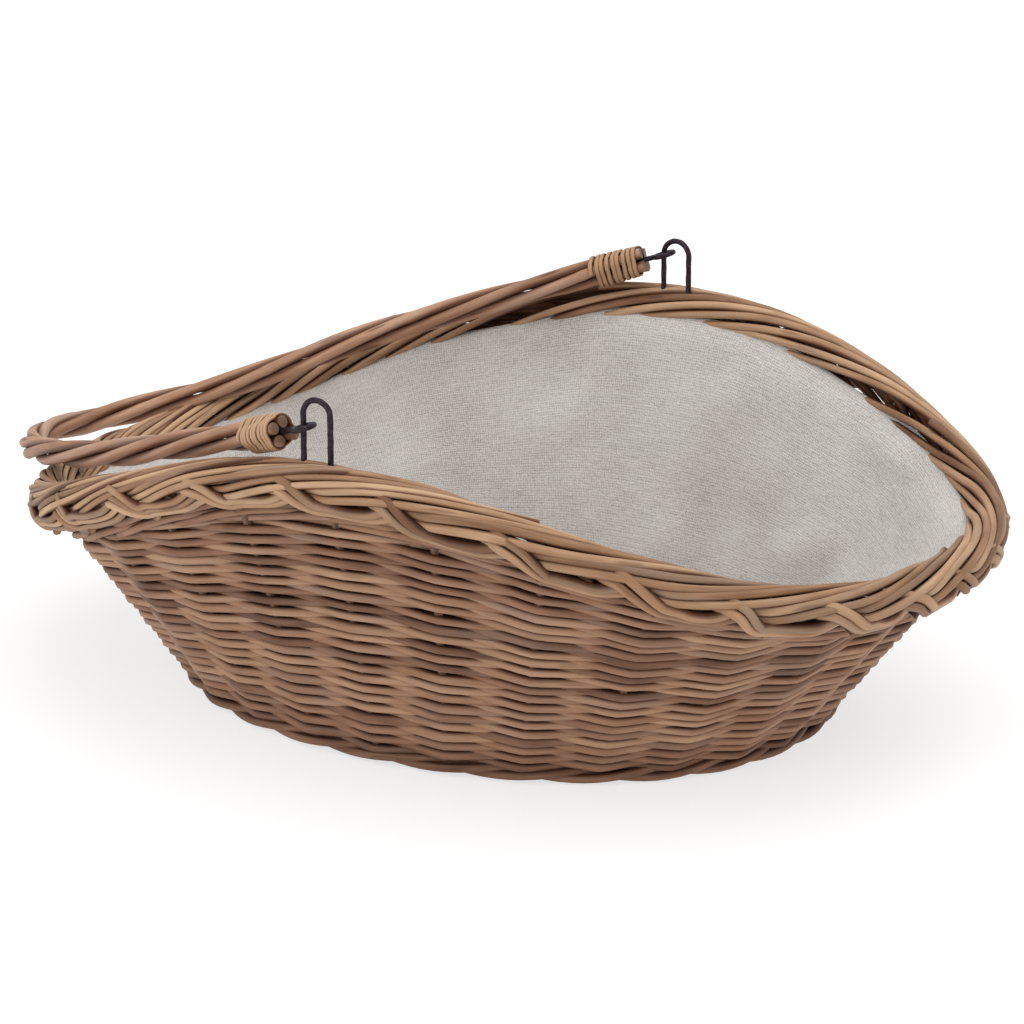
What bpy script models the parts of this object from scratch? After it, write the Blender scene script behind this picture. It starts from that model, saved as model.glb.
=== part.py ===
"""Wicker log basket: a flaring oval willow basket with a saddle-shaped border, a linen
liner, and a folding handle of twisted rods hung by wire eyes from two wire staples.

Metres, +Z up. The origin is the middle of the flat underside. +X runs along the long
axis to the higher end of the rim; the handle lies folded over the lower end, at -X.
"""

import math

import bmesh
import bpy
from mathutils import Matrix, Vector

# Border and rim
RIM_HALF_LENGTH = 0.281
RIM_HALF_WIDTH = 0.205
RIM_SIDE_HEIGHT = 0.174
RIM_LOW_END_HEIGHT = 0.090
RIM_HIGH_END_HEIGHT = 0.114
SHOULDER_DIP = 0.016
FAR_LEFT_RISE = 0.008
FAR_LEFT_ANGLE = math.radians(128)
FAR_LEFT_SPREAD = math.radians(24)
RIM_SQUARENESS = 2.22
BORDER_WIDTH = 0.023
BORDER_HEIGHT = 0.028

# Wall, foot and base
BASE_HALF_LENGTH = 0.187
BASE_HALF_WIDTH = 0.149
BASE_SQUARENESS = 2.10
FLARE_CURVE = 1.01
WALL_THICKNESS = 0.012
WALL_INSET = 0.004
FOOT_HEIGHT = 0.009
BASE_THICKNESS = 0.013
STAKE_COUNT = 28
FIRST_STAKE_ANGLE = math.radians(-88.5)
STAKE_RADIUS = 0.0026
STICK_RADIUS = 0.0024
LONG_STICKS = 3
CROSS_STICKS = 5

# Liner
LINER_THICKNESS = 0.0015

# Staples and eyes
STAPLE_WIRE_RADIUS = 0.00165
STAPLE_ARCH_RADIUS = 0.0085
STAPLE_LEG_DEPTH = 0.019
EYE_WIRE_RADIUS = 0.0016
EYE_RADIUS = 0.0058
EYE_SHANK_LENGTH = 0.024
AXIS_ABOVE_BORDER = 0.022

# Handle
HANDLE_REACH = 0.336
HANDLE_ROD_RADIUS = 0.0033
HANDLE_RODS = 4
HANDLE_TURNS = 4.0
HANDLE_TIP_EXPONENT = 1.2
HANDLE_SIDE_EXPONENT = 1.3
HANDLE_TIP_ROUNDING = 0.3
ROD_END_GAP = 0.012
BINDING_START = 0.018
BINDING_LENGTH = 0.028
BINDING_TURNS = 8
CANE_THICKNESS = 0.0012

# Clearances between pieces
GAP = 0.0003
LINER_GAP = 0.0014
HOLE_GAP = 0.0004
REST_GAP = 0.0010

# How finely curved pieces are faceted
COLUMNS = 2 * STAKE_COUNT
WALL_ROWS = 4
HANDLE_STATIONS = 60

AXIS_HEIGHT = RIM_SIDE_HEIGHT + BORDER_HEIGHT / 2 + AXIS_ABOVE_BORDER
STAPLE_Y = RIM_HALF_WIDTH - WALL_INSET
# Each eye hangs on its staple's left leg. The near eye has slid further down than the
# far one. These offsets, from the swing axis, let both eyes follow the staple's bend.
NEAR_EYE_DROP = 0.005
FAR_EYE_DROP = 0.002
NEAR_ARCH_RISE = 0.003
FAR_ARCH_RISE = -0.001


def oval(angle, squareness):
    """The unit superellipse's point at an angle."""
    c = math.cos(angle)
    s = math.sin(angle)
    n = squareness
    return Vector((c, s)) * (abs(c) ** n + abs(s) ** n) ** (-1 / n)


def rim_height(angle):
    """Height of the border's centre line: high at the sides, low at the ends."""
    c = math.cos(angle)
    s = math.sin(angle)
    end = (RIM_HIGH_END_HEIGHT + RIM_LOW_END_HEIGHT) / 2
    lean = (RIM_HIGH_END_HEIGHT - RIM_LOW_END_HEIGHT) / 2
    dip = SHOULDER_DIP * math.sin(2 * angle) ** 2
    past = math.remainder(angle - FAR_LEFT_ANGLE, 2 * math.pi) / FAR_LEFT_SPREAD
    rise = FAR_LEFT_RISE * math.exp(-past * past)
    return end + lean * c + (RIM_SIDE_HEIGHT - end) * s * s - dip + rise


def rim_point(angle):
    unit = oval(angle, RIM_SQUARENESS)
    return Vector((RIM_HALF_LENGTH * unit.x, RIM_HALF_WIDTH * unit.y, rim_height(angle)))


def plan_point(angle, share):
    """The wall's middle surface in plan, share 0 at the floor and 1 at the rim."""
    low = oval(angle, BASE_SQUARENESS)
    high = oval(angle, RIM_SQUARENESS)
    foot = Vector((BASE_HALF_LENGTH * low.x, BASE_HALF_WIDTH * low.y))
    length = RIM_HALF_LENGTH - WALL_INSET
    width = RIM_HALF_WIDTH - WALL_INSET
    return foot.lerp(Vector((length * high.x, width * high.y)), share**FLARE_CURVE)


def wall_point(angle, height, offset):
    """A point at a distance outside the wall's middle surface, at a height."""
    step = 0.001
    share = height / rim_height(angle)
    along = plan_point(angle + step, share) - plan_point(angle - step, share)
    outward = Vector((along.y, -along.x)).normalized()
    rise = step * rim_height(angle)
    run = (plan_point(angle, share + step) - plan_point(angle, share)).dot(outward)
    slant = math.hypot(run, rise) / rise
    place = plan_point(angle, share) + outward * offset * slant
    return Vector((place.x, place.y, height))


def column_angle(column):
    return FIRST_STAKE_ANGLE + 2 * math.pi * column / COLUMNS


def wall_top(angle):
    return rim_height(angle) - BORDER_HEIGHT / 2 - GAP


def row_heights(angle, lowest):
    top = wall_top(angle)
    return [lowest + (top - lowest) * row / (WALL_ROWS - 1) for row in range(WALL_ROWS)]


def make_material(name, color, roughness, metallic=0.0):
    material = bpy.data.materials.new(name)
    material.use_nodes = True
    shader = material.node_tree.nodes["Principled BSDF"]
    shader.inputs["Base Color"].default_value = (*color, 1.0)
    shader.inputs["Roughness"].default_value = roughness
    shader.inputs["Metallic"].default_value = metallic
    return material


def finish_mesh(name, mesh, material):
    """Puts a mesh in the scene as one named object."""
    mesh.shade_smooth()
    mesh.set_sharp_from_angle(angle=math.radians(50))
    mesh.materials.append(material)
    piece = bpy.data.objects.new(name, mesh)
    bpy.context.collection.objects.link(piece)
    return piece


def loops_mesh(name, loops, closed=False):
    """Skins a run of equal vertex loops. An open run gets flat ends; a closed one none."""
    shape = bmesh.new()
    rings = [[shape.verts.new(point) for point in loop] for loop in loops]
    pairs = list(zip(rings, rings[1:] + rings[:1])) if closed else list(zip(rings, rings[1:]))
    for first, second in pairs:
        count = len(first)
        for i in range(count):
            j = (i + 1) % count
            shape.faces.new((first[i], first[j], second[j], second[i]))
    if not closed:
        shape.faces.new(rings[0][::-1])
        shape.faces.new(rings[-1])
    bmesh.ops.recalc_face_normals(shape, faces=shape.faces)
    mesh = bpy.data.meshes.new(name)
    shape.to_mesh(mesh)
    shape.free()
    return mesh


def round_loop(center, across, up, radius, sides):
    turns = [2 * math.pi * i / sides for i in range(sides)]
    return [center + (across * math.cos(t) + up * math.sin(t)) * radius for t in turns]


def tube_mesh(name, points, radius, sides, closed=False):
    """A round tube along points, its section carried along without twist."""
    count = len(points)
    last = count - 1
    tangents = []
    for i in range(count):
        ahead = points[(i + 1) % count] if closed else points[min(i + 1, last)]
        behind = points[i - 1] if closed else points[max(i - 1, 0)]
        tangents.append((ahead - behind).normalized())
    across = tangents[0].orthogonal().normalized()
    loops = []
    for point, tangent in zip(points, tangents):
        across = (across - tangent * across.dot(tangent)).normalized()
        loops.append(round_loop(point, across, tangent.cross(across), radius, sides))
    return loops_mesh(name, loops, closed)


def join_meshes(name, meshes):
    """Several separate closed shapes as one cutter."""
    shape = bmesh.new()
    for mesh in meshes:
        shape.from_mesh(mesh)
        bpy.data.meshes.remove(mesh)
    joined = bpy.data.meshes.new(name)
    shape.to_mesh(joined)
    shape.free()
    return joined


def combine(piece, mesh, operation):
    """Cuts a mesh out of a piece, or joins it on, with a Boolean that stays on it."""
    tool = bpy.data.objects.new(mesh.name, mesh)
    tool.hide_render = True
    tool.display_type = "WIRE"
    bpy.context.collection.objects.link(tool)
    boolean = piece.modifiers.new(mesh.name, "BOOLEAN")
    boolean.operation = operation
    boolean.solver = "EXACT"
    boolean.object = tool


def stake_points(angle, below=0.0, above=0.0):
    """The line of one stake inside the wall, with its ends run on by a length."""
    points = [wall_point(angle, z, 0.0) for z in row_heights(angle, FOOT_HEIGHT + GAP)]
    points[0] += (points[0] - points[1]).normalized() * below
    points[-1] += (points[-1] - points[-2]).normalized() * above
    return points


def build_side_weave(material):
    """The woven wall, open at both ends, with a channel for each stake."""
    half = WALL_THICKNESS / 2
    loops = []
    for column in range(COLUMNS):
        angle = column_angle(column)
        heights = row_heights(angle, FOOT_HEIGHT + GAP)
        outer = [wall_point(angle, z, half) for z in heights]
        inner = [wall_point(angle, z, -half) for z in reversed(heights)]
        loops.append(outer + inner)
    wall = finish_mesh("side_weave", loops_mesh("side_weave", loops, closed=True), material)
    radius = STAKE_RADIUS + GAP
    run_on = 4 * GAP + WALL_THICKNESS / 2
    channels = []
    for stake in range(STAKE_COUNT):
        points = stake_points(column_angle(2 * stake), run_on, run_on)
        channels.append(tube_mesh("channel", points, radius, 6))
    combine(wall, join_meshes("stake_channels", channels), "DIFFERENCE")


def build_stakes(material):
    for stake in range(STAKE_COUNT):
        name = f"stake_{stake + 1:02d}"
        points = stake_points(column_angle(2 * stake), -GAP, -GAP)
        finish_mesh(name, tube_mesh(name, points, STAKE_RADIUS, 6), material)


def build_foot(material):
    """The waled ring round the bottom edge that the basket stands on."""
    half = WALL_THICKNESS / 2
    chamfer = FOOT_HEIGHT / 4
    section = [
        (half - chamfer, 0.0),
        (half, chamfer),
        (half, FOOT_HEIGHT - chamfer),
        (half - chamfer, FOOT_HEIGHT),
        (chamfer - half, FOOT_HEIGHT),
        (-half, FOOT_HEIGHT - chamfer),
        (-half, chamfer),
        (chamfer - half, 0.0),
    ]
    loops = []
    for column in range(COLUMNS):
        angle = column_angle(column)
        edge = wall_point(angle, 0.0, 0.0)
        outward = (wall_point(angle, 0.0, 1.0) - edge).normalized()
        loops.append([edge + outward * out + Vector((0, 0, z)) for out, z in section])
    finish_mesh("foot_wale", loops_mesh("foot_wale", loops, closed=True), material)


def base_outline(inset, height):
    """The inside of the foot ring as a loop, drawn in by an inset."""
    loop = []
    for column in range(COLUMNS):
        angle = column_angle(column)
        edge = wall_point(angle, 0.0, 0.0)
        outward = (wall_point(angle, 0.0, 1.0) - edge).normalized()
        place = edge - outward * (WALL_THICKNESS / 2 + inset)
        loop.append(Vector((place.x, place.y, height)))
    return loop


def stick_lines():
    """Name and the two ends of each base stick: long ones above the cross ones."""
    half_length = BASE_HALF_LENGTH - WALL_THICKNESS / 2 - 4 * GAP
    half_width = BASE_HALF_WIDTH - WALL_THICKNESS / 2 - 4 * GAP
    lower = BASE_THICKNESS * 0.27
    upper = BASE_THICKNESS * 0.73
    n = BASE_SQUARENESS
    lines = []
    for i in range(LONG_STICKS):
        y = half_width * 0.9 * (i - (LONG_STICKS - 1) / 2) / LONG_STICKS
        reach = half_length * (1 - abs(y / half_width) ** n) ** (1 / n) - 0.003
        ends = (Vector((-reach, y, upper)), Vector((reach, y, upper)))
        lines.append((f"long_stick_{i + 1}", ends))
    for i in range(CROSS_STICKS):
        x = half_length * 1.4 * (i - (CROSS_STICKS - 1) / 2) / CROSS_STICKS
        reach = half_width * (1 - abs(x / half_length) ** n) ** (1 / n) - 0.003
        ends = (Vector((x, -reach, lower)), Vector((x, reach, lower)))
        lines.append((f"cross_stick_{i + 1}", ends))
    return lines


def build_base(weave_material, stick_material):
    """The woven bottom, its channels open at the edge, and the sticks inside it."""
    loops = [base_outline(GAP, 0.0), base_outline(GAP, BASE_THICKNESS)]
    base = finish_mesh("base_weave", loops_mesh("base_weave", loops), weave_material)
    channels = []
    for name, (start, end) in stick_lines():
        run_on = (end - start).normalized() * 0.02
        far_ends = [start - run_on, end + run_on]
        channels.append(tube_mesh("channel", far_ends, STICK_RADIUS + GAP, 6))
        finish_mesh(name, tube_mesh(name, [start, end], STICK_RADIUS, 6), stick_material)
    combine(base, join_meshes("stick_channels", channels), "DIFFERENCE")


def build_liner(material):
    """The cloth lining as one thin open tray, close inside the wall and on the base."""
    outer_offset = -(WALL_THICKNESS / 2 + LINER_GAP)
    inner_offset = outer_offset - LINER_THICKNESS
    floor = BASE_THICKNESS + LINER_GAP
    outside = []
    inside = []
    for row in range(WALL_ROWS):
        outer_loop = []
        inner_loop = []
        for column in range(COLUMNS):
            angle = column_angle(column)
            outer_z = row_heights(angle, floor)[row]
            inner_z = row_heights(angle, floor + LINER_THICKNESS)[row]
            outer_loop.append(wall_point(angle, outer_z, outer_offset))
            inner_loop.append(wall_point(angle, inner_z, inner_offset))
        outside.append(outer_loop)
        inside.append(inner_loop)
    loops = outside + inside[::-1]
    finish_mesh("liner", loops_mesh("liner", loops), material)


def build_border(material):
    """The plaited border as one ring of oval section, with holes for the staples' legs."""
    sides = 8
    turns = [2 * math.pi * (i + 0.5) / sides for i in range(sides)]
    loops = []
    for column in range(COLUMNS):
        angle = column_angle(column)
        center = rim_point(angle)
        along = (rim_point(angle + 0.01) - rim_point(angle - 0.01)).normalized()
        outward = along.cross(Vector((0, 0, 1))).normalized()
        up = outward.cross(along)
        loop = []
        for turn in turns:
            across = outward * math.cos(turn) * BORDER_WIDTH / 2
            loop.append(center + across + up * math.sin(turn) * BORDER_HEIGHT / 2)
        loops.append(loop)
    border = finish_mesh("border", loops_mesh("border", loops, closed=True), material)
    holes = []
    radius = STAPLE_WIRE_RADIUS + HOLE_GAP
    top = RIM_SIDE_HEIGHT + BORDER_HEIGHT
    bottom = leg_foot() - HOLE_GAP
    for side in (-1, 1):
        for leg in (-1, 1):
            x = leg * STAPLE_ARCH_RADIUS
            ends = [Vector((x, side * STAPLE_Y, z)) for z in (bottom, top)]
            holes.append(tube_mesh("hole", ends, radius, 8))
    combine(border, join_meshes("staple_holes", holes), "DIFFERENCE")


def leg_foot():
    """Height of the staples' pointed ends, inside the border."""
    return RIM_SIDE_HEIGHT + BORDER_HEIGHT / 2 - STAPLE_LEG_DEPTH


def build_staples(material):
    """Two upside-down wire U pieces pushed into the border's sides."""
    for name, side, rise in (("staple_near", -1, NEAR_ARCH_RISE), ("staple_far", 1, FAR_ARCH_RISE)):
        arch_z = AXIS_HEIGHT + rise
        y = side * STAPLE_Y
        points = [Vector((-STAPLE_ARCH_RADIUS, y, leg_foot()))]
        for i in range(9):
            turn = math.pi * i / 8
            x = -STAPLE_ARCH_RADIUS * math.cos(turn)
            points.append(Vector((x, y, arch_z + STAPLE_ARCH_RADIUS * math.sin(turn))))
        points.append(Vector((STAPLE_ARCH_RADIUS, y, leg_foot())))
        finish_mesh(name, tube_mesh(name, points, STAPLE_WIRE_RADIUS, 8), material)


def flat_handle(steps=400):
    """The handle's centre line in its own plane: reach from the eyes, and sideways."""
    rounding = HANDLE_TIP_ROUNDING
    power = HANDLE_SIDE_EXPONENT
    base = rounding**power
    scale = (1 + rounding**2) ** (power / 2) - base
    line = []
    for i in range(steps + 1):
        v = math.sin(math.pi * (i / steps - 0.5))
        w = ((v * v + rounding**2) ** (power / 2) - base) / scale
        reach = HANDLE_REACH * max(0.0, 1 - w) ** (1 / HANDLE_TIP_EXPONENT)
        line.append((reach, STAPLE_Y * v))
    return line


def placed_handle(droop, steps=400):
    """The centre line in the basket's frame, its arms drooping below level."""
    down = math.sin(droop)
    out = math.cos(droop)
    line = []
    for reach, y in flat_handle(steps):
        share = (y / STAPLE_Y + 1) / 2
        eye_z = AXIS_HEIGHT - NEAR_EYE_DROP * (1 - share) - FAR_EYE_DROP * share
        line.append(Vector((-STAPLE_ARCH_RADIUS - reach * out, y, eye_z - reach * down)))
    return line


def bundle_radius(distance):
    """How far the rods' centres lie from the centre line: wider where the eye goes in."""
    tight = HANDLE_ROD_RADIUS * math.sqrt(2) + GAP
    loose = HANDLE_ROD_RADIUS + EYE_WIRE_RADIUS + 2 * GAP
    ends = BINDING_START + BINDING_LENGTH
    share = min(1.0, max(0.0, (distance - ends * 0.6) / ends))
    blend = share * share * (3 - 2 * share)
    return loose + (tight - loose) * blend if loose > tight else tight


def rest_droop():
    """The lowest the arms can droop before the handle meets the border."""
    rim = [rim_point(2 * math.pi * i / 240) for i in range(240)]
    reach = HANDLE_ROD_RADIUS + bundle_radius(0.0) + REST_GAP
    wide = BORDER_WIDTH / 2 + reach
    high = BORDER_HEIGHT / 2 + reach
    angle = 0.0
    step = math.radians(0.25)
    while angle < math.radians(60):
        line = placed_handle(angle + step, 120)[10:-10]
        for point in line:
            for edge in rim:
                away = point - edge
                if (away.x**2 + away.y**2) / wide**2 + (away.z / high) ** 2 < 1:
                    return angle
        angle += step
    return angle


def even_stations(line, count):
    """Points at even distances along a line, with their tangents and distances."""
    lengths = [0.0]
    for first, second in zip(line, line[1:]):
        lengths.append(lengths[-1] + (second - first).length)
    total = lengths[-1]
    first_s = ROD_END_GAP
    last_s = total - ROD_END_GAP
    stations = []
    index = 0
    for i in range(count + 1):
        s = first_s + (last_s - first_s) * i / count
        while index < len(lengths) - 2 and lengths[index + 1] < s:
            index += 1
        part = (s - lengths[index]) / (lengths[index + 1] - lengths[index])
        point = line[index].lerp(line[index + 1], part)
        tangent = (line[index + 1] - line[index]).normalized()
        stations.append((point, tangent, s, total))
    return stations


def handle_frame(tangent, droop):
    """Two directions across the handle: in its plane, and square to its plane."""
    square = Vector((-math.sin(droop), 0, math.cos(droop)))
    square = (square - tangent * square.dot(tangent)).normalized()
    return tangent.cross(square), square


def build_handle_rods(droop, material):
    stations = even_stations(placed_handle(droop), HANDLE_STATIONS)
    for rod in range(HANDLE_RODS):
        points = []
        for point, tangent, s, total in stations:
            across, square = handle_frame(tangent, droop)
            turn = 2 * math.pi * (rod / HANDLE_RODS + HANDLE_TURNS * s / total)
            radius = bundle_radius(min(s, total - s))
            points.append(point + (across * math.cos(turn) + square * math.sin(turn)) * radius)
        name = f"handle_rod_{rod + 1}"
        finish_mesh(name, tube_mesh(name, points, HANDLE_ROD_RADIUS, 6), material)


def arm_line(droop, near):
    """The centre line walked from one eye towards the tip."""
    line = placed_handle(droop)
    return line if near else line[::-1]


def point_along(line, distance):
    walked = 0.0
    for first, second in zip(line, line[1:]):
        step = (second - first).length
        if walked + step >= distance:
            return first.lerp(second, (distance - walked) / step), (second - first).normalized()
        walked += step
    return line[-1], (line[-1] - line[-2]).normalized()


def build_binding(name, droop, near, material):
    """A sleeve of split cane turns round the rods, bound over the eye's shank."""
    sides = 12
    rods = bundle_radius(0.0) + HANDLE_ROD_RADIUS + GAP
    inner = rods / math.cos(math.pi / sides)
    line = arm_line(droop, near)
    steps = 2 * BINDING_TURNS
    outside = []
    inside = []
    for i in range(steps + 1):
        s = BINDING_START + BINDING_LENGTH * i / steps
        point, tangent = point_along(line, s)
        across, square = handle_frame(tangent, droop)
        thickness = CANE_THICKNESS if i % 2 else CANE_THICKNESS * 0.6
        outside.append(round_loop(point, across, square, inner + thickness, sides))
        inside.append(round_loop(point, across, square, inner, sides))
    loops = outside + inside[::-1]
    finish_mesh(name, loops_mesh(name, loops, closed=True), material)


def build_eye(name, droop, near, material):
    """A wire ring round the staple's leg, its shank held between the bound rods."""
    line = arm_line(droop, near)
    center = line[0]
    along = (point_along(line, EYE_SHANK_LENGTH)[0] - center).normalized()
    _, square = handle_frame(along, droop)
    across = square.cross(along)
    ring_points = round_loop(center, along, across, EYE_RADIUS, 16)
    ring = tube_mesh("ring", ring_points, EYE_WIRE_RADIUS, 8, closed=True)
    shank_ends = [center + along * EYE_RADIUS, center + along * EYE_SHANK_LENGTH]
    shank = tube_mesh("shank", shank_ends, EYE_WIRE_RADIUS, 8)
    combine(finish_mesh(name, ring, material), shank, "UNION")


def hang_on_axis(names):
    """Parents the moving pieces to an empty on the swing axis."""
    pivot = bpy.data.objects.new("handle_pivot", None)
    pivot.location = (0, 0, AXIS_HEIGHT)
    bpy.context.collection.objects.link(pivot)
    for name in names:
        piece = bpy.data.objects[name]
        piece.parent = pivot
        piece.matrix_parent_inverse = Matrix.Translation((0, 0, -AXIS_HEIGHT))


for old in list(bpy.data.objects):
    bpy.data.objects.remove(old, do_unlink=True)

brown_willow = make_material("brown_willow", (0.30, 0.17, 0.10), 0.6)
golden_willow = make_material("golden_willow", (0.50, 0.31, 0.17), 0.55)
handle_willow = make_material("handle_willow", (0.45, 0.27, 0.17), 0.55)
peeled_stick = make_material("peeled_stick", (0.55, 0.38, 0.24), 0.6)
split_cane = make_material("split_cane", (0.66, 0.44, 0.22), 0.45)
linen = make_material("linen", (0.62, 0.57, 0.52), 0.9)
dark_wire = make_material("dark_wire", (0.05, 0.035, 0.045), 0.45, 0.7)

build_foot(brown_willow)
build_base(brown_willow, peeled_stick)
build_side_weave(brown_willow)
build_stakes(brown_willow)
build_liner(linen)
build_border(golden_willow)
build_staples(dark_wire)

droop = rest_droop()
build_handle_rods(droop, handle_willow)
build_binding("binding_near", droop, True, split_cane)
build_binding("binding_far", droop, False, split_cane)
build_eye("eye_near", droop, True, dark_wire)
build_eye("eye_far", droop, False, dark_wire)
hang_on_axis(
    [f"handle_rod_{i + 1}" for i in range(HANDLE_RODS)]
    + ["binding_near", "binding_far", "eye_near", "eye_far"]
)
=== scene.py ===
"""Looks of a wicker log basket with a linen liner and a folding handle of twisted rods."""

import math

import bpy
import numpy as np
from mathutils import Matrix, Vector


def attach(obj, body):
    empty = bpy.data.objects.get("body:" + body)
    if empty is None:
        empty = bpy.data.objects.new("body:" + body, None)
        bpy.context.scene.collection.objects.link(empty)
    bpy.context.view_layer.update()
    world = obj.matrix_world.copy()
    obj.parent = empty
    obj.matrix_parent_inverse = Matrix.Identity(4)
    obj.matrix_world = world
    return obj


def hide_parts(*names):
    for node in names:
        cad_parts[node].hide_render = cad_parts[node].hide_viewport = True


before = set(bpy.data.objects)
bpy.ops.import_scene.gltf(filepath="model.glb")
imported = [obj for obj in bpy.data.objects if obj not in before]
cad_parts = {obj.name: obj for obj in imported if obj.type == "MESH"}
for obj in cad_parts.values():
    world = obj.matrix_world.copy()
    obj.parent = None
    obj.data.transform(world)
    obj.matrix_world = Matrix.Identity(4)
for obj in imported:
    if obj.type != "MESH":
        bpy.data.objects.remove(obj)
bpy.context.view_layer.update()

# ---------------------------------------------------------------- room and camera
# A seamless pale floor under soft, even studio light, and a long lens that looks
# down on the basket from its front right.
FLOOR_HALF = 12.0
CAMERA_TURN = math.radians(30.388)
CAMERA_RISE = math.radians(18.24)
CAMERA_DISTANCE = 2.526
CAMERA_LENS = 154.07
AIM_HEIGHT = 0.102
AIM_SHIFT = 0.002
FLOOR_GREY, FLOOR_GLOW, ROOM_LIGHT = 0.36, 0.68, 0.75


def studio_light(name, place, aim, size, power):
    lamp = bpy.data.lights.new(name, "AREA")
    lamp.shape = "RECTANGLE"
    lamp.size, lamp.size_y = size
    lamp.energy = power
    holder = bpy.data.objects.new(name, lamp)
    holder.location = place
    holder.rotation_euler = (Vector(aim) - Vector(place)).to_track_quat("-Z", "Y").to_euler()
    bpy.context.collection.objects.link(holder)


bpy.ops.object.select_all(action="DESELECT")
bpy.ops.mesh.primitive_plane_add(size=2 * FLOOR_HALF)
floor = bpy.context.object
floor.name = "studio_floor"
floor_paint = bpy.data.materials.new("floor_paint")
floor_paint.use_nodes = True
paint = floor_paint.node_tree.nodes["Principled BSDF"].inputs
paint["Base Color"].default_value = (FLOOR_GREY, FLOOR_GREY, FLOOR_GREY, 1)
paint["Roughness"].default_value = 0.9
paint["Emission Color"].default_value = (1, 1, 1, 1)
paint["Emission Strength"].default_value = FLOOR_GLOW
floor.data.materials.append(floor_paint)

world = bpy.data.worlds.new("studio")
world.use_nodes = True
world.node_tree.nodes["Background"].inputs["Color"].default_value = (1.0, 1.0, 1.0, 1)
world.node_tree.nodes["Background"].inputs["Strength"].default_value = ROOM_LIGHT
bpy.context.scene.world = world
bpy.context.scene.view_settings.view_transform = "Standard"

camera_data = bpy.data.cameras.new("camera")
camera_data.lens = CAMERA_LENS
camera_data.sensor_width = 36
camera = bpy.data.objects.new("camera", camera_data)
aim = Vector((AIM_SHIFT * math.cos(CAMERA_TURN), AIM_SHIFT * math.sin(CAMERA_TURN), AIM_HEIGHT))
back = Vector(
    (
        math.sin(CAMERA_TURN) * math.cos(CAMERA_RISE),
        -math.cos(CAMERA_TURN) * math.cos(CAMERA_RISE),
        math.sin(CAMERA_RISE),
    )
)
camera.location = aim + back * CAMERA_DISTANCE
camera.rotation_euler = back.to_track_quat("Z", "Y").to_euler()
bpy.context.collection.objects.link(camera)
bpy.context.scene.camera = camera
studio_light("over", (0.3, 0.2, 1.9), (0, 0, 0.1), (2.2, 2.2), 22)
studio_light("front", (-0.8, -2.2, 1.1), (0, 0, 0.1), (1.4, 1.0), 12)

# ---------------------------------------------------------------- foot and woven bottom
# The oval bottom is woven on three long and five cross sticks. Round its edge the
# stakes are turned up and held by a wale of three rods, on which the basket stands.
BASE_HALF_LENGTH, BASE_HALF_WIDTH = 0.187, 0.149
RIM_HALF_LENGTH, RIM_HALF_WIDTH = 0.281, 0.205
WALL_INSET = 0.004
SIDE_HEIGHT, END_HEIGHT, END_LEAN, SHOULDER_DIP = 0.174, 0.102, 0.012, 0.016
BASE_SQUARENESS, RIM_SQUARENESS = 2.10, 2.22
FLARE = 1.01
FAR_LEFT_RISE, FAR_LEFT_TURN, FAR_LEFT_SPREAD = 0.008, math.radians(128), math.radians(24)
STAKES = 28
STAKE_PITCH = 2 * math.pi / STAKES
FIRST_STAKE = math.radians(-88.5)
WALE_RODS, WALE_ROD = 3, 0.0027
WALE_HEIGHT, WALE_OUT = 0.0064, 0.0005
WALE_RISE, WALE_SWAY = 0.0018, 0.0040
BOTTOM_ROUNDS = 27
BOTTOM_ROD, BOTTOM_THINNER = 0.0024, 0.0004
BOTTOM_EDGE, BOTTOM_HEIGHT, BOTTOM_LIFT = -0.0085, 0.0066, 0.0026
SEED = 28
chance = np.random.default_rng(SEED)


def unit(vectors):
    return vectors / np.linalg.norm(vectors, axis=-1, keepdims=True)


def run_along(line):
    """The distance from a line's start to each of its points."""
    return np.concatenate([[0], np.cumsum(np.linalg.norm(np.diff(line, axis=0), axis=-1))])


def stake_turn(phase):
    """The angle round the oval of a stake, or of a place between two."""
    return FIRST_STAKE + STAKE_PITCH * phase


def oval(turn, squareness=RIM_SQUARENESS):
    c, s = np.cos(turn), np.sin(turn)
    scale = (np.abs(c) ** squareness + np.abs(s) ** squareness) ** (-1 / squareness)
    return np.stack([c * scale, s * scale], -1)


def rim_height(turn):
    s = np.sin(turn)
    level = END_HEIGHT + END_LEAN * np.cos(turn) - SHOULDER_DIP * np.sin(2 * turn) ** 2
    past = (np.mod(turn - FAR_LEFT_TURN + math.pi, 2 * math.pi) - math.pi) / FAR_LEFT_SPREAD
    return level + (SIDE_HEIGHT - END_HEIGHT) * s * s + FAR_LEFT_RISE * np.exp(-past * past)


def plan(turn, share):
    spread = np.clip(share, 0, 2)[..., None] ** FLARE
    foot = oval(turn, BASE_SQUARENESS) * (BASE_HALF_LENGTH, BASE_HALF_WIDTH)
    top = oval(turn) * (RIM_HALF_LENGTH - WALL_INSET, RIM_HALF_WIDTH - WALL_INSET)
    return foot + (top - foot) * spread


def wall(turn, height, out):
    """Points at a distance outside the middle of the wall."""
    turn, height, out = np.broadcast_arrays(turn, height, out)
    share = height / rim_height(turn)
    step = 0.001
    along = plan(turn + step, share) - plan(turn - step, share)
    outward = unit(np.stack([along[..., 1], -along[..., 0]], -1))
    rise = step * rim_height(turn)
    run = ((plan(turn, share + step) - plan(turn, share)) * outward).sum(-1)
    slope = np.hypot(run, rise)
    place = plan(turn, share) + outward * (out * rise / slope)[..., None]
    return np.concatenate([place, (height - out * run / slope)[..., None]], -1)


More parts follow.
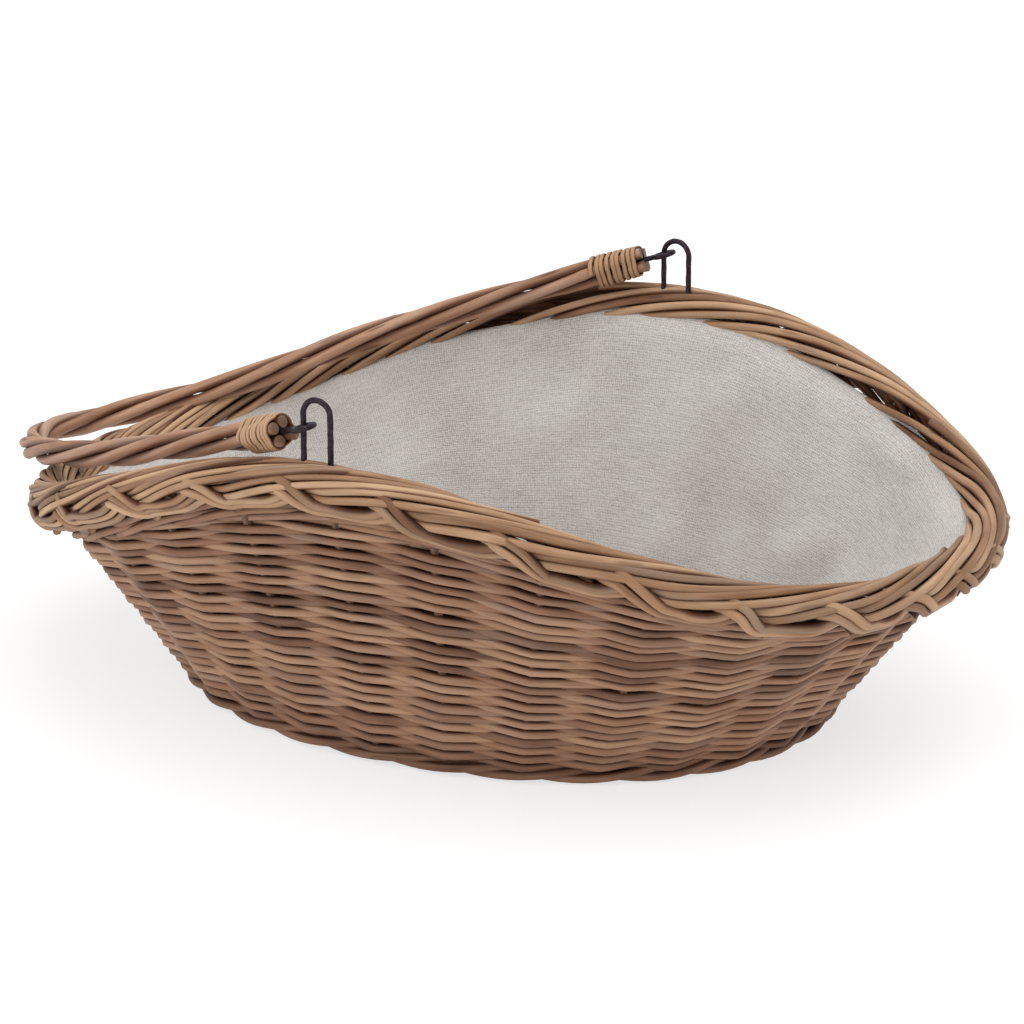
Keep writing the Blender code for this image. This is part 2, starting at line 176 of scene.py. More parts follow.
def sweep(line, radius, sides=8):
    """Rings of points round a line, their start carried along it without twist."""
    line = np.asarray(line, float)
    tangent = unit(np.gradient(line, axis=0))
    across = np.empty_like(line)
    side = np.cross(tangent[0], (0.0, 0.0, 1.0))
    if np.linalg.norm(side) < 0.1:
        side = np.cross(tangent[0], (0.0, 1.0, 0.0))
    for i, direction in enumerate(tangent):
        side = unit(side - direction * side.dot(direction))
        across[i] = side
    up = np.cross(tangent, across)
    angle = 2 * math.pi * np.arange(sides) / sides
    ring = across[:, None] * np.cos(angle)[:, None] + up[:, None] * np.sin(angle)[:, None]
    return line[:, None] + ring * np.broadcast_to(radius, len(line))[:, None, None]


class Rods:
    """Swept rods gathered into one piece.

    Each has its own shade, the lie of its grain, its cut ends and how deep in a groove it is, where the
    finishes paint shade."""

    def __init__(self):
        self.points, self.faces, self.lie, self.shade, self.cut, self.deep = [], [], [], [], [], []
        self.count = 0

    def add(self, line, radius, shade, sides=8, facing=None):
        rings = sweep(line, radius, sides)
        stations = len(rings)
        radius = np.broadcast_to(radius, stations)
        # How far each face turns away from the given facing into a groove: the finishes paint shade
        # there.
        deep = np.zeros((stations, sides))
        if facing is not None:
            spokes = (rings - np.asarray(line)[:, None]) / radius[:, None, None]
            deep = 0.5 - 0.5 * (spokes * facing[:, None]).sum(-1)
        self.deep += [deep.ravel(), deep[0], deep[-1]]
        angle = 2 * math.pi * np.arange(sides) / sides
        lie = np.empty((stations, sides, 3))
        lie[..., 0] = run_along(line)[:, None] + shade * 7.3
        lie[..., 1] = radius[:, None] * np.cos(angle) + shade * 3.1
        lie[..., 2] = radius[:, None] * np.sin(angle) + shade * 5.7
        first = self.count
        here = first + np.arange(stations * sides).reshape(stations, sides)
        ahead = np.roll(here, -1, axis=1)
        quads = np.stack([here[:-1], ahead[:-1], ahead[1:], here[1:]], -1).reshape(-1, 4)
        self.faces += quads.tolist()
        self.points += [rings.reshape(-1, 3), rings[0], rings[-1]]
        self.lie += [lie.reshape(-1, 3), lie[0], lie[-1]]
        self.shade.append(np.full(stations * sides + 2 * sides, shade))
        self.cut += [np.zeros(stations * sides), np.ones(2 * sides)]
        low = first + stations * sides
        self.faces.append([low + i for i in range(sides)][::-1])
        self.faces.append([low + sides + i for i in range(sides)])
        self.count += (stations + 2) * sides

    def piece(self, name, material, body, slot, *nodes):
        mesh = bpy.data.meshes.new(name)
        mesh.from_pydata(np.concatenate(self.points).tolist(), [], self.faces)
        lie = mesh.attributes.new("lie", "FLOAT_VECTOR", "POINT")
        lie.data.foreach_set("vector", np.concatenate(self.lie).ravel())
        for label, values in (("shade", self.shade), ("cut", self.cut), ("deep", self.deep)):
            mesh.attributes.new(label, "FLOAT", "POINT").data.foreach_set("value", np.concatenate(values))
        mesh.shade_smooth()
        mesh.materials.append(material)
        piece = bpy.data.objects.new(name, mesh)
        bpy.context.collection.objects.link(piece)
        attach(piece, body)
        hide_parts(*nodes)
        return piece


class Shade:
    """A socket that takes part in sums, and that builds any other node beside it."""

    def __init__(self, tree, socket=None):
        self.tree, self.socket = tree, socket

    def node(self, kind, settings=None, sockets=None, output=0):
        node = self.tree.nodes.new(kind)
        for key, value in (settings or {}).items():
            if key == "stops":
                ramp = node.color_ramp.elements
                while len(ramp) < len(value):
                    ramp.new(1.0)
                for stop, (position, color) in zip(ramp, value):
                    stop.position, stop.color = position, (*color, 1)
            else:
                setattr(node, key, value)
        for key, value in (sockets or {}).items():
            if isinstance(value, Shade):
                self.tree.links.new(value.socket, node.inputs[key])
            else:
                node.inputs[key].default_value = value
        return Shade(self.tree, node.outputs[output])

    def _math(self, operation, first, second):
        return self.node("ShaderNodeMath", {"operation": operation}, {0: first, 1: second})

    def __add__(self, other):
        return self._math("ADD", self, other)

    def __sub__(self, other):
        return self._math("SUBTRACT", self, other)

    def __rsub__(self, other):
        return self._math("SUBTRACT", other, self)

    def __mul__(self, other):
        return self._math("MULTIPLY", self, other)

    __radd__, __rmul__ = __add__, __mul__


def new_finish(name):
    material = bpy.data.materials.new(name)
    material.use_nodes = True
    shader = material.node_tree.nodes["Principled BSDF"]
    return material, shader, Shade(material.node_tree)


# The last argument is how dark the painted shade in the grooves is.
def willow(name, bark, grey, pith, roughness, speck, groove_shade):
    """Willow rods: streaks along the grain, blotches, buds, painted shade in the grooves and cut ends."""
    material, shader, kit = new_finish(name)
    lie = kit.node("ShaderNodeAttribute", {"attribute_name": "lie"}, output="Vector")
    shade = kit.node("ShaderNodeAttribute", {"attribute_name": "shade"}, output="Fac")
    cut = kit.node("ShaderNodeAttribute", {"attribute_name": "cut"}, output="Fac")

    def stretched(scale):
        return kit.node("ShaderNodeMapping", {}, {"Vector": lie, "Scale": scale})

    def grain(scale, detail=2.0, rough=0.5):
        return kit.node("ShaderNodeTexNoise", {}, {"Vector": stretched(scale), "Scale": 1.0,
                                                   "Detail": detail, "Roughness": rough})

    streak = grain((35, 900, 900), 3.0, 0.6)
    blotch = grain((28, 120, 120), 2.0)
    fine = grain((240, 1500, 1500), 2.0, 0.6)
    tone = shade * 0.62 + blotch * 0.75 + streak * 0.45 - 0.41
    color = kit.node("ShaderNodeValToRGB", {"stops": list(zip((0.12, 0.5, 0.88), bark))}, {"Fac": tone})
    buds = kit.node("ShaderNodeTexVoronoi", {"feature": "F1"},
                    {"Vector": stretched((22, 150, 150)), "Scale": 1.0})
    spots = kit.node("ShaderNodeMapRange", {"interpolation_type": "SMOOTHSTEP"},
                     {"Value": buds, "From Min": 0.10, "From Max": 0.22, "To Min": speck, "To Max": 0.0})
    spotted = kit.node("ShaderNodeMix", {"data_type": "RGBA", "blend_type": "MULTIPLY"},
                       {"Factor": spots, 6: color, 7: (0.35, 0.25, 0.2, 1)}, output=2)
    age = grain((9, 60, 60), 2.0)
    aged = kit.node("ShaderNodeMapRange", {},
                    {"Value": age, "From Min": 0.5, "From Max": 0.75, "To Max": 0.6})
    greyed = kit.node("ShaderNodeMix", {"data_type": "RGBA"},
                      {"Factor": aged, 6: spotted, 7: (*grey, 1)}, output=2)
    # Painted shade: faces turned into the grooves are multiplied towards dark brown, in place of their
    # shadow.
    deep = kit.node("ShaderNodeAttribute", {"attribute_name": "deep"}, output="Fac")
    groove = kit.node("ShaderNodeMapRange", {"interpolation_type": "SMOOTHSTEP"},
                      {"Value": deep, "From Min": 0.12, "From Max": 0.52, "To Max": groove_shade})
    groove_shaded = kit.node("ShaderNodeMix", {"data_type": "RGBA", "blend_type": "MULTIPLY"},
                      {"Factor": groove, 6: greyed, 7: (0.30, 0.17, 0.11, 1)}, output=2)
    ended = kit.node("ShaderNodeMix", {"data_type": "RGBA"}, {"Factor": cut * (0.55 + fine * 0.4),
                     6: groove_shaded, 7: (*pith, 1)}, output=2)
    kit.tree.links.new(ended.socket, shader.inputs["Base Color"])
    rough = roughness + 0.25 * fine - 0.1
    kit.tree.links.new(rough.socket, shader.inputs["Roughness"])
    height = streak * 0.6 + fine * 0.4 - spots * 0.4
    bump = kit.node("ShaderNodeBump", {}, {"Strength": 0.35, "Distance": 0.0006, "Height": height})
    kit.tree.links.new(bump.socket, shader.inputs["Normal"])
    shader.inputs["Specular IOR Level"].default_value = 0.35
    return material


BROWN_BARK = (0.12, 0.052, 0.026), (0.27, 0.136, 0.076), (0.42, 0.25, 0.155)
brown_willow = willow("brown_willow", BROWN_BARK, grey=(0.25, 0.17, 0.13), pith=(0.30, 0.19, 0.12),
                      roughness=0.6, speck=0.35, groove_shade=0.85)


def outward_at(turn, height):
    """The wall's outward direction, its true normal."""
    return unit(wall(turn, height, 0.001) - wall(turn, height, 0.0))


def wander(turn, share, waves=((3, 1, 0.0), (5, -2, 1.3), (8, 3, 4.1), (2, 2, 2.2))):
    """A slow drift shared by neighbouring rows, from -1 to 1."""
    return sum(np.sin(a * turn + 6.28 * b * share + c) for a, b, c in waves) / len(waves)


def over_under(phase):
    """1 outside a stake and -1 behind it, straight between."""
    return 1 - 2 * np.abs((phase + 1) % 2 - 1)


foot = Rods()
for strand in range(WALE_RODS):
    phase = np.arange(0, STAKES * 6 + 3) / 6
    turn = stake_turn(phase)
    swing = 2 * math.pi * (phase + strand) / WALE_RODS
    height = WALE_HEIGHT + WALE_RISE * np.sin(swing)
    out = WALE_OUT + WALE_SWAY * np.cos(swing)
    # Painted shade: the foot rods get the darkest tones, down by the floor.
    foot.add(wall(turn, height, out), WALE_ROD, chance.uniform(-0.25, 0.1), 8, outward_at(turn, height))
foot.piece("foot_rods", brown_willow, "basket", "brown_willow", "foot_wale")

bottom = Rods()
phase = np.arange(0, STAKES * 4 + 3) / 4
edge = wall(stake_turn(phase), 0.0, BOTTOM_EDGE)[:, :2]
for ring in range(BOTTOM_ROUNDS):
    share = (ring + 0.7) / (BOTTOM_ROUNDS + 0.2)
    height = BOTTOM_HEIGHT + BOTTOM_LIFT * over_under(phase + ring)
    line = np.concatenate([edge * share, height[:, None]], 1)
    bottom.add(line, BOTTOM_ROD - BOTTOM_THINNER * (ring % 3 == 1), chance.uniform(0.1, 0.7), 6)
bottom.piece("bottom_rods", brown_willow, "basket", "brown_willow", "base_weave")

# ---------------------------------------------------------------- stakes and base sticks
# Straight willow rods that carry the weave. They are nearly hidden in it, so their
# plain solids stay, in the same willow seen through the object's own coordinates.


def stick_willow(name, dark, light):
    material, shader, kit = new_finish(name)
    place = kit.node("ShaderNodeTexCoord", output="Object")
    stretched = kit.node("ShaderNodeMapping", {}, {"Vector": place, "Scale": (500, 500, 60)})
    grain = kit.node("ShaderNodeTexNoise", {}, {"Vector": stretched, "Scale": 1.0, "Detail": 3.0})
    color = kit.node("ShaderNodeValToRGB", {"stops": [(0.3, dark), (0.7, light)]}, {"Fac": grain})
    kit.tree.links.new(color.socket, shader.inputs["Base Color"])
    bump = kit.node("ShaderNodeBump", {}, {"Strength": 0.3, "Distance": 0.0005, "Height": grain})
    kit.tree.links.new(bump.socket, shader.inputs["Normal"])
    shader.inputs["Roughness"].default_value = 0.65
    return material


stake_willow = stick_willow("stake_willow", (0.10, 0.05, 0.03), (0.20, 0.10, 0.06))
peeled_stick = stick_willow("peeled_stick", (0.30, 0.18, 0.10), (0.48, 0.32, 0.19))
for name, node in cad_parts.items():
    if name.startswith("stake_") or name.startswith(("long_stick", "cross_stick")):
        node.data.materials.clear()
        node.data.materials.append(stake_willow if name.startswith("stake_") else peeled_stick)

# ---------------------------------------------------------------- side weave
# Single brown willow rods woven row on row, each outside one stake and inside the
# next. Two rounds of three longer rods close the top, hidden under the border.
ROWS, END_ROWS = 43, 28
ROD_RADIUS = 0.00285
WEAVE_DEPTH, WEAVE_SINK = 0.0036, 0.0002
WEAVE_DRIFT, WEAVE_RIPPLE = 0.0009, 0.0004
WEAVE_FOOT = 0.0086
WEAVE_TOP_SHARE, LAST_LEVEL = 0.93, 1.035
END_CROWDING, KINK_SHARPNESS = 1.6, 3.4
BORDER_DROP = 0.0143
RUN_OUT = 0.0028
CLOSING_RODS = 6
CLOSING_ROD, CLOSING_SWAY, CLOSING_SINK = 0.0026, 0.0036, 0.0003
CLOSING_SHARES, CLOSING_RISE = (0.035, 0.085), 0.026


def weave_height(turn, share):
    top = rim_height(turn) - BORDER_DROP
    return WEAVE_FOOT + (top - WEAVE_FOOT) * share


def row_share(row, turn):
    """A row's height up the wall, and how far it has slipped in behind the border.

    The sides are taller than the ends, so the upper rows run out under the border."""
    rows_here = END_ROWS + (ROWS - END_ROWS) * np.abs(np.sin(turn)) ** END_CROWDING
    level = (row + 0.6) / rows_here
    return np.minimum(level, LAST_LEVEL) * WEAVE_TOP_SHARE, np.clip(level - 1, 0, 0.1) / 0.1


def kinked(line, phase, first):
    """Straight from stake to stake, with a short turn at each."""
    stakes = np.arange(len(line)) + first
    run = np.stack([np.interp(phase, stakes, line[:, i]) for i in range(3)], -1)
    run[1:-1] = (run[:-2] + KINK_SHARPNESS * run[1:-1] + run[2:]) / (KINK_SHARPNESS + 2)
    return run


side = Rods()
for row in range(ROWS):
    start = 2 * int(chance.integers(0, STAKES // 2)) + 1 - row % 2
    stake = np.arange(start - 1, start + STAKES + 3)
    turn = stake_turn(stake)
    share, hidden = row_share(row, turn)
    ripple = np.sin(turn * chance.integers(3, 9) + chance.uniform(0, 6))
    drift = WEAVE_DRIFT * wander(turn, share) + WEAVE_RIPPLE * ripple
    height = weave_height(turn, share) + drift * (0.5 + share)
    depth = WEAVE_DEPTH * (1 + 0.12 * np.sin(stake * 2.1 + row))
    out = depth * (1 - 0.7 * hidden) * over_under(stake + row) - WEAVE_SINK - RUN_OUT * hidden
    knots = wall(turn, height, out)
    phase = start - 0.25 + np.arange(0, STAKES * 8 + 9) / 8
    turn = stake_turn(phase)
    taper = 1.07 - 0.2 * np.linspace(0, 1, len(phase))
    radius = ROD_RADIUS * chance.uniform(0.92, 1.06) * taper * (1.06 - 0.12 * row / ROWS)
    radius = radius * (1 + 0.03 * np.sin(phase * 5.3 + row * 2))
    # Painted shade: the lowest rows are darker towards the bottom of the wall.
    tone = chance.uniform(0, 1) * min(1, 0.2 + 4 * row / ROWS)
    share, hidden = row_share(row, turn)
    radius = radius * (1 - 0.3 * hidden)
    height = weave_height(turn, share)
    side.add(kinked(knots, phase, start - 1), radius, tone, 7, outward_at(turn, height))
for strand in range(CLOSING_RODS):
    phase = strand * 3.5 + np.arange(0, STAKES * 6 + 9) / 6
    turn = stake_turn(phase)
    swing = 2 * math.pi * (phase / 3.1 + strand / 3)
    share = WEAVE_TOP_SHARE + CLOSING_SHARES[strand // 3] + CLOSING_RISE * np.sin(swing + 0.9)
    out = CLOSING_SWAY * np.cos(swing) - CLOSING_SINK
    radius = CLOSING_ROD * (1.08 - 0.2 * np.linspace(0, 1, len(turn)))
    height = weave_height(turn, share)
    side.add(wall(turn, height, out), radius, chance.uniform(0.1, 0.7), 8, outward_at(turn, height))
side.piece("side_weave_rods", brown_willow, "basket", "brown_willow", "side_weave")

# ---------------------------------------------------------------- linen liner
# A washed linen lining, laid close inside the wall and across the bottom. It is a
# side strip sewn to an oval, its top edge tucked behind the border.
LINER_OUT = -0.0083
LINER_TUCK = 0.0015
LINER_FLOOR = 0.0152
LINER_THICKNESS = 0.0007
TUCK_REACH, TUCK_OUT = 0.016, 0.0055
WIDE_SCALLOP, FINE_SCALLOP = 0.0012, 0.0007
LONG_FOLD, EDGE_FOLD, CROSS_FOLD = 0.0034, 0.0012, 0.0042
FLOOR_LIFT, FLOOR_SWELL = 0.0010, 0.0012
COLUMNS = 336
WALL_STEPS, FLOOR_STEPS = 60, 36
WALL_WAVES = (4, 1, 0.3), (7, -1, 2), (11, 1, 4), (3, 2, 1)
FLOOR_WAVES = (2, 1, 0.5), (3, -1, 1.5), (5, 2, 3)

turn = np.linspace(0, 2 * math.pi, COLUMNS, endpoint=False)
rows = []
scallop = WIDE_SCALLOP * np.cos(14 * turn + 0.6) + FINE_SCALLOP * np.sin(9 * turn)
top = rim_height(turn) - LINER_TUCK + scallop
for step in range(WALL_STEPS + 1):
    share = 1 - step / WALL_STEPS
    height = LINER_FLOOR + (top - LINER_FLOOR) * share
    near_edge = np.exp(-((1 - share) / 0.25) ** 2)
    crossing = np.sin(9 * turn + 7 * share) * np.sin(5 * turn - 4 * share + 1)
    folds = LONG_FOLD * np.maximum(0, wander(turn, share * 0.5, WALL_WAVES))
    folds += EDGE_FOLD * near_edge * np.sin(14 * turn + 2.5 * share) ** 2
    folds += CROSS_FOLD * np.maximum(0, crossing) ** 2
    tucked = np.clip(1 - (rim_height(turn) - height) / TUCK_REACH, 0, 1) ** 1.5 * TUCK_OUT
    rows.append(wall(turn, height, LINER_OUT + tucked - folds * np.clip((top - height) / 0.02, 0, 1)))
corner = rows[-1]
for step in range(1, FLOOR_STEPS + 1):
    share = 1 - step / (FLOOR_STEPS + 1)
    ring = corner.copy()
    ring[:, :2] *= share
    swell = FLOOR_SWELL * wander(turn, share, FLOOR_WAVES)
    ring[:, 2] = LINER_FLOOR + FLOOR_LIFT + swell * (1 - share ** 6) * share
    rows.append(ring)
grid = np.array(rows)
for _ in range(3):
    smooth = grid.copy()
    low, high = WALL_STEPS - 3, WALL_STEPS + 3
    smooth[low:high] = (grid[low - 1:high - 1] + 2 * grid[low:high] + grid[low + 1:high + 1]) / 4
    grid = smooth
index = np.arange(grid.shape[0] * COLUMNS).reshape(grid.shape[0], COLUMNS)
ahead = np.roll(index, -1, axis=1)
quads = np.stack([index[:-1], ahead[:-1], ahead[1:], index[1:]], -1).reshape(-1, 4)
liner_mesh = bpy.data.meshes.new("linen_liner")
liner_mesh.from_pydata(grid.reshape(-1, 3).tolist(), [], quads.tolist() + [index[-1].tolist()])
drop = np.concatenate([[0], np.cumsum(np.linalg.norm(np.diff(grid, axis=0), axis=2).mean(1))])
cloth = np.empty((grid.shape[0], COLUMNS, 3))
cloth[..., 0] = run_along(grid[WALL_STEPS // 3])
cloth[..., 1] = drop[:, None]
cloth[..., 2] = 0
cloth[WALL_STEPS + 1:, :, :2] = grid[WALL_STEPS + 1:, :, :2]
cloth[WALL_STEPS + 1:, :, 2] = 0.5
liner_mesh.attributes.new("cloth", "FLOAT_VECTOR", "POINT").data.foreach_set("vector", cloth.ravel())
liner_mesh.shade_smooth()
liner = bpy.data.objects.new("linen_liner", liner_mesh)
bpy.context.collection.objects.link(liner)
thickness = liner.modifiers.new("thickness", "SOLIDIFY")
thickness.thickness = LINER_THICKNESS
thickness.offset = 1


def linen_finish():
    material, shader, kit = new_finish("linen")
    cloth = kit.node("ShaderNodeAttribute", {"attribute_name": "cloth"}, output="Vector")

    def threads(stretch, detail=2.0):
        place = kit.node("ShaderNodeMapping", {}, {"Vector": cloth, "Scale": stretch})
        return kit.node("ShaderNodeTexNoise", {}, {"Vector": place, "Scale": 1.0, "Detail": detail})

    def ribs(direction):
        return kit.node("ShaderNodeTexWave", {"bands_direction": direction},
                        {"Vector": cloth, "Scale": 235.0, "Distortion": 5.0, "Detail": 2.0,
                         "Detail Scale": 2.0})

    weft = threads((330, 1000, 1), 1.0) * 0.6 + ribs("Y") * 0.4
    warp = threads((1000, 330, 1), 1.0) * 0.6 + ribs("X") * 0.4
    # Broad blotches: partly soil, partly painted shade standing in for the soft wrinkles.
    soil_and_shade = threads((16, 16, 16), 3.0)
    slub = threads((70, 560, 1), 2.0)
    tone = weft * 0.6 + warp * 0.6 + slub * 0.35 + soil_and_shade * 0.55 - 0.55
    stops = [(0.18, (0.35, 0.32, 0.30)), (0.5, (0.56, 0.525, 0.495)), (0.82, (0.68, 0.655, 0.635))]
    color = kit.node("ShaderNodeValToRGB", {"stops": stops}, {"Fac": tone})
    kit.tree.links.new(color.socket, shader.inputs["Base Color"])
    bump = kit.node("ShaderNodeBump", {}, {"Strength": 0.5, "Distance": 0.0005,
                                           "Height": weft + warp + slub})
    kit.tree.links.new(bump.socket, shader.inputs["Normal"])
    shader.inputs["Roughness"].default_value = 0.92
    shader.inputs["Sheen Weight"].default_value = 0.1
    shader.inputs["Specular IOR Level"].default_value = 0.15
    return material


liner.data.materials.append(linen_finish())
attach(liner, "basket")
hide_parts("liner")

# ---------------------------------------------------------------- plaited border
# The stakes' golden tops, two or three at each stake, laid down round the rim to the
# right: out under the rods before, slanting down, back under the next pair, then up
# over the top and cut off inside.
BORDER_ROD, THREES_THINNER = 0.0028, 0.82
THREES_FROM, THREES_TO = -4.6, -2.2
SECTION_OUT, SECTION_UP = 0.0093, 0.0116
STUB_CHANCE, STUB_RUN, STUB_LIFT = 0.16, (4.1, 4.7), (0.003, 0.006)
PATH_POINTS = 130
# Each knot: stakes run past, degrees round the border from its outer side, share out.
PLAIT = (
    (-0.50, -112, 1.20), (-0.40, -105, 0.70), (-0.26, -60, 0.10), (-0.08, 30, 0.30),
    (0.04, 17, 0.62), (0.16, 6, 0.98), (0.30, -12, 1.10), (0.44, -36, 1.08),
    (0.52, -47, 1.05), (0.60, -51, 1.00), (0.78, -52, 0.98), (1.00, -46, 0.92),
    (1.16, -36, 0.66), (1.30, -22, 0.46), (1.44, -8, 0.66), (1.62, 3, 0.94),
    (2.05, 24, 1.02), (2.65, 50, 1.00), (3.20, 80, 1.00), (3.75, 110, 1.00),
    (4.30, 142, 1.00), (4.85, 174, 1.00), (5.40, 202, 0.97), (5.90, 226, 0.88), (6.40, 250, 0.55),
)
OUTER_BEND = slice(6, 11)
INNER_RUN = 16


def rim_line(turn):
    return np.concatenate([oval(turn) * (RIM_HALF_LENGTH, RIM_HALF_WIDTH), rim_height(turn)[:, None]], 1)


def border_place(turn, out, up):
    """Points beside the rim's middle line, and its outward and upward directions there."""
    step = 0.01
    along = unit(rim_line(turn + step) - rim_line(turn - step))
    outward = unit(np.cross(along, (0, 0, 1)))
    upward = np.cross(outward, along)
    return rim_line(turn) + outward * out[:, None] + upward * up[:, None], outward, upward


def through(knots, count):
    """A smooth run of points through a table of knots."""
    knots = np.asarray(knots, float)
    spans = np.linspace(0, len(knots) - 1, count)
    low = np.clip(spans.astype(int), 0, len(knots) - 2)
    part = (spans - low)[:, None]
    before, after = np.clip(low - 1, 0, None), np.clip(low + 2, None, len(knots) - 1)
    p0, p1, p2, p3 = knots[before], knots[low], knots[low + 1], knots[after]
    return 0.5 * (2 * p1 + (p2 - p0) * part + (2 * p0 - 5 * p1 + 4 * p2 - p3) * part ** 2
                  + (3 * p1 - p0 - 3 * p2 + p3) * part ** 3)


GOLDEN_BARK = (0.16, 0.072, 0.033), (0.335, 0.183, 0.096), (0.54, 0.345, 0.205)
golden_willow = willow("golden_willow", GOLDEN_BARK, grey=(0.34, 0.25, 0.175), pith=(0.30, 0.21, 0.13),
                       roughness=0.5, speck=0.5, groove_shade=0.95)
border = Rods()
for stake in range(STAKES):
    knots = np.array(PLAIT)
    loose = chance.uniform(-1, 1, 4)
    knots[OUTER_BEND, 0] += 0.09 * loose[0] * np.array([0.5, 1, 1, 1, 0.6])
    knots[5:, 1] += 3.5 * np.sin(np.arange(len(knots) - 5) * 1.7 + loose[1] * 3)
    knots[INNER_RUN:, 2] += 0.05 * np.sin(np.arange(len(knots) - INNER_RUN) * 1.3 + loose[2] * 3)
    strands = 3 if THREES_FROM < stake_turn(stake - STAKES) < THREES_TO else 2
    path = through(knots, PATH_POINTS)
    turn = stake_turn(stake + 0.5 + path[:, 0])
    section = np.radians(path[:, 1])
    out, up = path[:, 2] * SECTION_OUT * np.cos(section), path[:, 2] * SECTION_UP * np.sin(section)
    line, outward, upward = border_place(turn, out, up)
    skin = unit(outward * np.cos(section)[:, None] + upward * np.sin(section)[:, None])
    beside = unit(np.cross(skin, np.gradient(line, axis=0)))
    for strand in range(strands):
        thick = BORDER_ROD * chance.uniform(0.88, 1.08) * (1 if strands == 2 else THREES_THINNER)
        spread = 1 + 0.12 * np.sin(path[:, 0] * 2.3 + loose[3] * 3)
        lay = (strand - (strands - 1) / 2) * 2.0 * thick * spread
        radius = thick * np.interp(path[:, 0], (-0.5, 1, 6.3), (1.08, 1.0, 0.82))
        cutoff = int(chance.integers(1, 8))
        strand_line = line + beside * lay[:, None]
        if strand == 0 and chance.uniform() < STUB_CHANCE:
            cutoff = len(path) - int(np.searchsorted(path[:, 0], chance.uniform(*STUB_RUN)))
            lifted = np.clip((path[:, 0] - path[-1 - cutoff, 0] + 0.6) / 0.6, 0, 1) ** 2
            strand_line = strand_line + skin * (lifted * chance.uniform(*STUB_LIFT))[:, None]
        border.add(strand_line[:-cutoff], radius[:-cutoff], chance.uniform(0, 1), 8, skin[:-cutoff])
border.piece("border_rods", golden_willow, "basket", "golden_willow", "border")

# ---------------------------------------------------------------- wire staples and eyes
# Dark iron wire bent by hand: a staple pushed down into each side of the border, and
# on it an eye whose shank runs back between the rod ends of the handle.
WIRE_Y = 0.201
ARCH_RADIUS = 0.0085
STAPLE_WIRE, EYE_WIRE = 0.00165, 0.0016
STAPLE_FOOT = 0.169
NEAR_ARCH, FAR_ARCH = 0.213, 0.209
HAND_WOBBLE = 0.00015
EYE_RADIUS, SHANK_LENGTH = 0.0058, 0.024
EYE_OPEN, EYE_CLOSED = math.radians(-8), math.radians(340)
EYE_HEIGHT, NEAR_EYE_DROP, FAR_EYE_DROP = 0.210, 0.005, 0.002
REST_DROOP = math.radians(18.75)
HANDLE_REACH = 0.336
TIP_BLUNTNESS, BEND_POWER, ARM_POWER = 0.3, 1.3, 1.2
FAR_BOW, FAR_BOW_AT, FAR_BOW_SPREAD = 0.0065, 0.78, 0.19
NEAR_BOW, NEAR_BOW_AT, NEAR_BOW_SPREAD = 0.0025, 0.60, 0.25
TIP_LIFT, TIP_SPREAD = 0.0020, 0.12
DARK_IRON = ((0.3, (0.012, 0.008, 0.012)), (0.6, (0.040, 0.028, 0.036)), (0.85, (0.10, 0.07, 0.075)))


def wire_finish():
    material, shader, kit = new_finish("dark_wire")
    place = kit.node("ShaderNodeTexCoord", output="Object")
    scale_marks = kit.node("ShaderNodeTexNoise", {}, {"Vector": place, "Scale": 420.0, "Detail": 4.0})
    color = kit.node("ShaderNodeValToRGB", {"stops": DARK_IRON}, {"Fac": scale_marks})
    kit.tree.links.new(color.socket, shader.inputs["Base Color"])
    rough = scale_marks * 0.4 + 0.28
    kit.tree.links.new(rough.socket, shader.inputs["Roughness"])
    bump = kit.node("ShaderNodeBump", {}, {"Strength": 0.4, "Distance": 0.0003, "Height": scale_marks})
    kit.tree.links.new(bump.socket, shader.inputs["Normal"])
    shader.inputs["Metallic"].default_value = 0.75
    return material


dark_wire = wire_finish()
for name, y, arch in (("staple_near", -WIRE_Y, NEAR_ARCH), ("staple_far", WIRE_Y, FAR_ARCH)):
    bend = np.linspace(math.pi, 0, 25)
    line = [(-ARCH_RADIUS, y, z) for z in np.linspace(STAPLE_FOOT, arch, 16)[:-1]]
    line += [(ARCH_RADIUS * math.cos(a), y, arch + ARCH_RADIUS * math.sin(a)) for a in bend]
    line += [(ARCH_RADIUS, y, z) for z in np.linspace(arch, STAPLE_FOOT, 16)[1:]]
    line = np.array(line)
    line[:, 1] += HAND_WOBBLE * np.sin(line[:, 2] * 700)
    staple = Rods()
    staple.add(line, STAPLE_WIRE * (1 + 0.03 * np.sin(np.arange(len(line)) * 1.3)), 0.5, 12)
    staple.piece(name + "_wire", dark_wire, "basket", "dark_wire", name)


def handle_line(steps=600):
    """The handle's centre line at rest, from the near eye over the tip to the far eye."""
    across = np.sin(np.pi * (np.linspace(0, 1, steps + 1) - 0.5))
    low, high = TIP_BLUNTNESS ** BEND_POWER, (1 + TIP_BLUNTNESS ** 2) ** (BEND_POWER / 2)
    spent = ((across ** 2 + TIP_BLUNTNESS ** 2) ** (BEND_POWER / 2) - low) / (high - low)
    run = np.maximum(0, 1 - spent) ** (1 / ARM_POWER)
    reach = HANDLE_REACH * run
    eye = EYE_HEIGHT - NEAR_EYE_DROP * (1 - across) / 2 - FAR_EYE_DROP * (1 + across) / 2
    far_bow = FAR_BOW * np.exp(-((run - FAR_BOW_AT) / FAR_BOW_SPREAD) ** 2)
    near_bow = NEAR_BOW * np.exp(-((run - NEAR_BOW_AT) / NEAR_BOW_SPREAD) ** 2)
    bow = np.where(across > 0, far_bow, near_bow) * np.clip(np.abs(across) / TIP_SPREAD, 0, 1)
    lift = TIP_LIFT * np.exp(-(across / TIP_SPREAD) ** 2)
    return np.stack([-ARCH_RADIUS - reach * math.cos(REST_DROOP), WIRE_Y * across,
                     eye - reach * math.sin(REST_DROOP) - bow + lift], -1)


